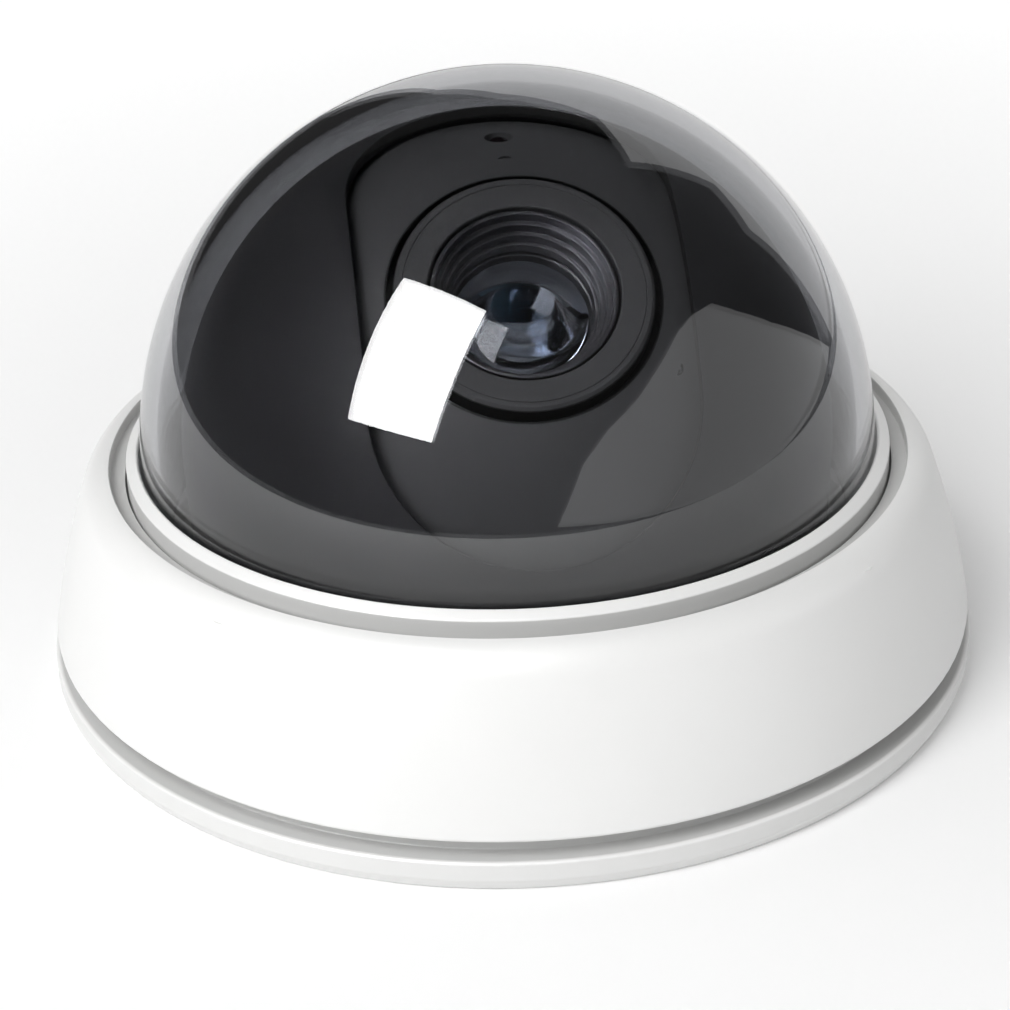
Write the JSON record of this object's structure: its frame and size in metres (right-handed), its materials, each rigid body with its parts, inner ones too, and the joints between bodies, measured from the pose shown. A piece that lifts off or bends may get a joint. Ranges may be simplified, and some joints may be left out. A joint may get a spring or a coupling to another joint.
{
  "type": "dome security camera",
  "caption": "Compact ceiling dome camera with a low round housing, a smoked half-sphere dome and a lens that pans, tilts and rolls inside it.",
  "frame": {"origin": "centre of the mounting face, the lowest point of the part as it stands on a bench", "axes": "+Z from the mounting face up through the dome; the lens looks towards -Y and up; +X is the camera's left"},
  "size_m": [0.12, 0.12, 0.0758],
  "materials": {
    "housing_white": "satin white moulded ABS",
    "smoked_dome": "smoked clear polycarbonate, polished",
    "black_plastic": "black moulded ABS",
    "black_rubber": "moulded rubber",
    "steel": "zinc plated steel",
    "nylon": "natural nylon",
    "black_aluminium": "black anodised aluminium",
    "lens_glass": "coated optical glass",
    "filter_glass": "infra-red cut filter glass",
    "circuit_board": "green solder mask on glass epoxy",
    "chip_black": "moulded epoxy package",
    "connector_ivory": "nylon connector housing",
    "led_lens": "tinted epoxy lamp lens"
  },
  "bodies": {
    "base": {"base_plate": "housing_white", "cable_grommet": "black_rubber", "pan_washer": "nylon", "pan_clip": "steel"},
    "cover": {"cover_shell": "housing_white", "dome_ring": "housing_white", "dome_seal": "black_rubber", "dome": "smoked_dome", "dome_clamp": "black_plastic", "dome_clamp_screw_1": "steel", "dome_clamp_screw_2": "steel", "dome_clamp_screw_3": "steel", "dome_clamp_screw_4": "steel"},
    "pan_carriage": {"turntable": "black_plastic", "yoke_right": "steel", "yoke_left": "steel", "yoke_screw_1": "steel", "yoke_screw_2": "steel", "yoke_screw_3": "steel", "yoke_screw_4": "steel", "pivot_screw_right": "steel", "pivot_screw_left": "steel", "tilt_washer_right": "nylon", "tilt_washer_left": "nylon", "liner": "black_plastic", "liner_screw_1": "steel", "liner_screw_2": "steel", "liner_screw_3": "steel"},
    "tilt_ball": {"eyeball": "black_plastic", "head_ring": "black_plastic", "head_ring_screw_1": "steel", "head_ring_screw_2": "steel", "head_ring_screw_3": "steel", "indicator_led": "led_lens", "led_board": "circuit_board"},
    "camera_head": {"bezel": "black_plastic", "lens_hood": "black_aluminium", "lens_barrel": "black_aluminium", "aperture_plate": "black_plastic", "middle_element": "lens_glass", "lens_mount": "black_plastic", "ir_filter": "filter_glass", "sensor_board": "circuit_board", "image_sensor": "chip_black", "image_processor": "chip_black", "main_connector": "connector_ivory", "led_connector": "connector_ivory", "board_screw_1": "steel", "board_screw_2": "steel"},
    "focus_grip": {"focus_ring": "black_aluminium", "focus_lock_screw": "steel"},
    "zoom_grip": {"zoom_ring": "black_aluminium", "zoom_lock_screw": "steel"},
    "focus_group": {"front_cell": "black_aluminium", "front_element": "lens_glass"},
    "zoom_group": {"zoom_cell": "black_aluminium", "zoom_element": "lens_glass"}
  },
  "joints": [
    {"name": "cover_lift", "type": "slide", "parent": "base", "child": "cover", "axis": [0, 0, 1], "range_m": [0, 0.075]},
    {"name": "pan_turn", "type": "hinge", "parent": "base", "child": "pan_carriage", "pos_m": [0, 0, 0.0045], "axis": [0, 0, 1], "range_deg": [-175, 175]},
    {"name": "tilt", "type": "hinge", "parent": "pan_carriage", "child": "tilt_ball", "pos_m": [0, 0, 0.029], "axis": [-1, 0, 0], "range_deg": [-17, 22]},
    {"name": "roll", "type": "hinge", "parent": "tilt_ball", "child": "camera_head", "pos_m": [0, 0, 0.029], "axis": [0, -0.6293, 0.7771], "range_deg": [-90, 90]},
    {"name": "focus_turn", "type": "hinge", "parent": "camera_head", "child": "focus_grip", "pos_m": [0, 0, 0.029], "axis": [0, -0.6293, 0.7771], "range_deg": [-45, 45]},
    {"name": "zoom_turn", "type": "hinge", "parent": "camera_head", "child": "zoom_grip", "pos_m": [0, 0, 0.029], "axis": [0, -0.6293, 0.7771], "range_deg": [-40, 40]},
    {"name": "focus_travel", "type": "slide", "parent": "camera_head", "child": "focus_group", "axis": [0, -0.6293, 0.7771], "range_m": [-0.00061, 0.00061]},
    {"name": "zoom_travel", "type": "slide", "parent": "camera_head", "child": "zoom_group", "axis": [0, -0.6293, 0.7771], "range_m": [-0.00152, 0.00152]}
  ],
  "couplings": [
    {"joint": "focus_travel", "follows": "focus_turn", "m_per_rad": 0.000764},
    {"joint": "zoom_travel", "follows": "zoom_turn", "m_per_rad": 0.002149}
  ]
}
